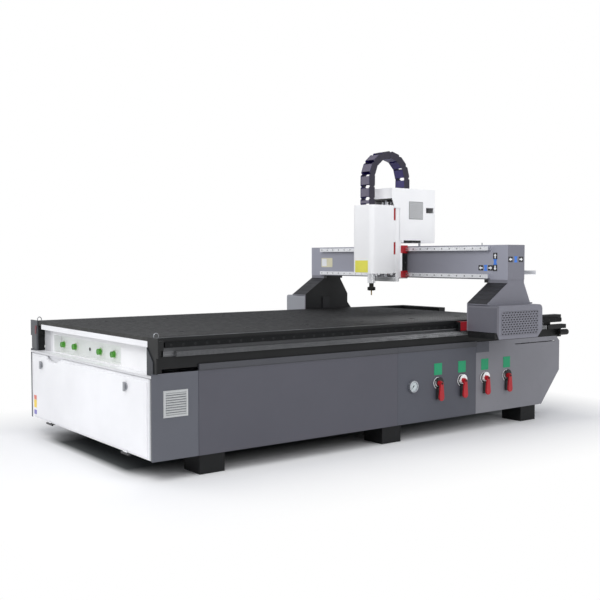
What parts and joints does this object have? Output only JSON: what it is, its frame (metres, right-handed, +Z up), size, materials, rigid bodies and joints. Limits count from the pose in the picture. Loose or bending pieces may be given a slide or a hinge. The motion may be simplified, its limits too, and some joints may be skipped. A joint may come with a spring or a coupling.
{
  "type": "cnc router",
  "caption": "Flat bed gantry router for sheet wood, with a vacuum table, a cross beam on sloping legs, and a spindle head with a drag chain.",
  "frame": {"origin": "centre of the bounding box at floor level", "axes": "+X across the bed towards the side with the valves, +Y along the bed away from the front door, +Z up"},
  "size_m": [1.902, 2.854, 1.6333],
  "materials": {
    "frame_black": "satin powder coat",
    "table_black": "matte phenolic board with a fine grid",
    "panel_grey": "satin powder coat",
    "cover_white": "satin white powder coat",
    "beam_grey": "satin powder coat",
    "zinc_plate": "zinc plated sheet",
    "rail_steel": "ground steel",
    "dark_steel": "oiled steel",
    "block_red": "gloss red",
    "lever_red": "red vinyl grip",
    "button_green": "moulded, gloss",
    "motor_black": "satin black",
    "chain_blue": "moulded nylon",
    "gauge_steel": "pressed, bright",
    "needle_black": "flat black",
    "grey_plastic": "moulded"
  },
  "bodies": {
    "bed": {"bed_frame": "frame_black", "rail_beam_near": "frame_black", "rail_beam_far": "frame_black", "vacuum_table": "table_black", "y_rail_near": "dark_steel", "y_rail_far": "dark_steel", "y_rack_near": "rail_steel", "y_rack_far": "rail_steel", "side_panels_near": "panel_grey", "side_panels_far": "panel_grey", "rear_cover": "panel_grey", "front_frame": "cover_white", "front_upper_panel": "cover_white", "button_panel": "zinc_plate", "control_electronics": "zinc_plate", "vacuum_manifold": "grey_plastic", "gauge_case": "gauge_steel"},
    "door": {"cabinet_door": "cover_white"},
    "latch_left": {"door_latch_left": "zinc_plate"},
    "latch_right": {"door_latch_right": "zinc_plate"},
    "button_1": {"push_button_1": "button_green"},
    "button_2": {"push_button_2": "button_green"},
    "button_3": {"push_button_3": "button_green"},
    "button_4": {"push_button_4": "button_green"},
    "lever_1": {"valve_lever_1": "lever_red"},
    "lever_2": {"valve_lever_2": "lever_red"},
    "lever_3": {"valve_lever_3": "lever_red"},
    "lever_4": {"valve_lever_4": "lever_red"},
    "needle": {"gauge_needle": "needle_black"},
    "gantry": {"gantry_beam": "beam_grey", "x_rail_lower": "rail_steel", "x_rail_upper": "rail_steel", "x_rack": "rail_steel", "gantry_leg_near": "beam_grey", "gantry_leg_far": "beam_grey", "leg_cover_near": "beam_grey", "leg_cover_far": "beam_grey", "y_bearing_block_front_near": "block_red", "y_bearing_block_front_far": "block_red", "y_bearing_block_rear_near": "block_red", "y_bearing_block_rear_far": "block_red", "y_motor_near": "motor_black", "y_motor_far": "motor_black"},
    "pinion_near": {"y_pinion_near": "rail_steel"},
    "pinion_far": {"y_pinion_far": "rail_steel"},
    "carriage": {"carriage_plate": "beam_grey", "z_rail_left": "rail_steel", "z_rail_right": "rail_steel", "head_housing": "cover_white", "x_motor": "motor_black", "z_motor": "motor_black", "drag_chain_return": "chain_blue"},
    "cross_pinion": {"x_pinion": "rail_steel"},
    "screw": {"z_ball_screw": "rail_steel"},
    "head": {"head_plate": "beam_grey", "spindle_cover": "cover_white", "spindle_body": "motor_black", "drag_chain_riser": "chain_blue"},
    "rotor": {"collet_nut": "dark_steel", "router_bit": "rail_steel"}
  },
  "joints": [
    {"name": "gantry_slide", "type": "slide", "parent": "bed", "child": "gantry", "axis": [0, 1, 0], "range_m": [-1.79, 0.44]},
    {"name": "pinion_near_spin", "type": "hinge", "parent": "gantry", "child": "pinion_near", "pos_m": [0.7587, 0.693, 0.556], "axis": [0, 0, 1], "continuous": true},
    {"name": "pinion_far_spin", "type": "hinge", "parent": "gantry", "child": "pinion_far", "pos_m": [-0.7587, 0.693, 0.556], "axis": [0, 0, 1], "continuous": true},
    {"name": "carriage_slide", "type": "slide", "parent": "gantry", "child": "carriage", "axis": [1, 0, 0], "range_m": [-0.655, 0.65]},
    {"name": "cross_pinion_spin", "type": "hinge", "parent": "carriage", "child": "cross_pinion", "pos_m": [-0.004, 0.878, 1.011], "axis": [0, 0, 1], "continuous": true},
    {"name": "head_slide", "type": "slide", "parent": "carriage", "child": "head", "axis": [0, 0, 1], "range_m": [-0.112, 0.012], "deforming": ["drag_chain_riser"]},
    {"name": "screw_spin", "type": "hinge", "parent": "carriage", "child": "screw", "pos_m": [-0.004, 0.5913, 1.09], "axis": [0, 0, 1], "continuous": true},
    {"name": "rotor_spin", "type": "hinge", "parent": "head", "child": "rotor", "pos_m": [-0.004, 0.47, 0.79], "axis": [0, 0, 1], "continuous": true},
    {"name": "door_hinge", "type": "hinge", "parent": "bed", "child": "door", "pos_m": [0, -1.41, 0.09], "axis": [1, 0, 0], "range_deg": [0, 90]},
    {"name": "latch_left_turn", "type": "hinge", "parent": "door", "child": "latch_left", "pos_m": [-0.54503, -1.413, 0.398], "axis": [0, -1, 0], "range_deg": [0, 90]},
    {"name": "latch_right_turn", "type": "hinge", "parent": "door", "child": "latch_right", "pos_m": [0.4702, -1.413, 0.398], "axis": [0, -1, 0], "range_deg": [0, 90]},
    {"name": "needle_turn", "type": "hinge", "parent": "bed", "child": "needle", "pos_m": [0.722, 0.12711, 0.293], "axis": [-1, 0, 0], "range_deg": [0, 270]},
    {"name": "button_1_press", "type": "slide", "parent": "bed", "child": "button_1", "axis": [0, 1, 0], "range_m": [0, 0.004], "stiffness_N_per_m": 400, "springref_m": -0.002},
    {"name": "button_2_press", "type": "slide", "parent": "bed", "child": "button_2", "axis": [0, 1, 0], "range_m": [0, 0.004], "stiffness_N_per_m": 400, "springref_m": -0.002},
    {"name": "button_3_press", "type": "slide", "parent": "bed", "child": "button_3", "axis": [0, 1, 0], "range_m": [0, 0.004], "stiffness_N_per_m": 400, "springref_m": -0.002},
    {"name": "button_4_press", "type": "slide", "parent": "bed", "child": "button_4", "axis": [0, 1, 0], "range_m": [0, 0.004], "stiffness_N_per_m": 400, "springref_m": -0.002},
    {"name": "lever_1_turn", "type": "hinge", "parent": "bed", "child": "lever_1", "pos_m": [0.73, 0.32004, 0.295], "axis": [1, 0, 0], "range_deg": [0, 90]},
    {"name": "lever_2_turn", "type": "hinge", "parent": "bed", "child": "lever_2", "pos_m": [0.73, 0.50754, 0.295], "axis": [1, 0, 0], "range_deg": [0, 90]},
    {"name": "lever_3_turn", "type": "hinge", "parent": "bed", "child": "lever_3", "pos_m": [0.73, 0.69504, 0.295], "axis": [1, 0, 0], "range_deg": [0, 90]},
    {"name": "lever_4_turn", "type": "hinge", "parent": "bed", "child": "lever_4", "pos_m": [0.73, 0.88254, 0.295], "axis": [1, 0, 0], "range_deg": [0, 90]}
  ],
  "couplings": [
    {"joint": "pinion_near_spin", "follows": "gantry_slide", "rad_per_m": 33.333},
    {"joint": "pinion_far_spin", "follows": "gantry_slide", "rad_per_m": -33.333},
    {"joint": "cross_pinion_spin", "follows": "carriage_slide", "rad_per_m": -33.333},
    {"joint": "screw_spin", "follows": "head_slide", "rad_per_m": 628.32}
  ]
}
